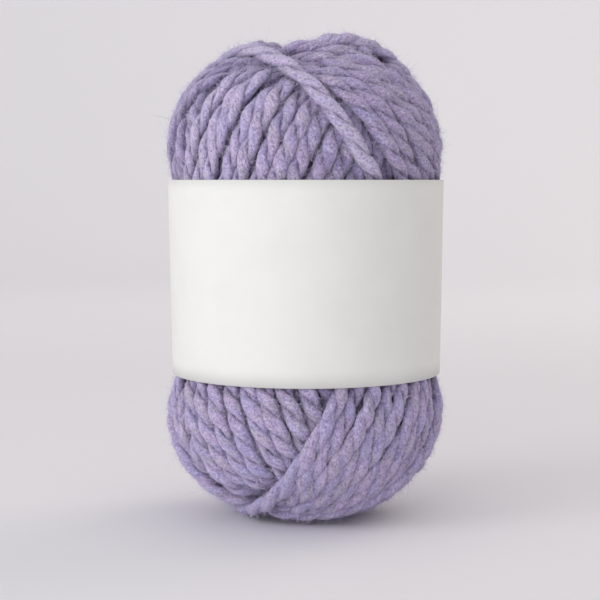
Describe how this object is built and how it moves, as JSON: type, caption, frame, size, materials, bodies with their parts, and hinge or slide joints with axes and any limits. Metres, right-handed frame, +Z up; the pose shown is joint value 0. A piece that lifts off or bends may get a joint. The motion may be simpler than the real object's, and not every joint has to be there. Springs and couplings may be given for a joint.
{
  "type": "ball of chunky wool yarn with a paper band",
  "caption": "Upright machine-wound ball of chunky plied lilac wool yarn with crossing turns over both ends and a plain white paper band round its waist.",
  "frame": {"origin": "middle of the flat foot, on the surface that the ball stands on", "axes": "+Z up along the ball's long axis, front at -Y, +X to the right"},
  "size_m": [0.086, 0.0859, 0.1455],
  "materials": {
    "yarn": "soft heathered lilac plied wool, fuzzy and matt",
    "paper": "smooth uncoated white paper"
  },
  "bodies": {
    "root": {"yarn_ball": "yarn", "paper_band": "paper"}
  },
  "joints": []
}
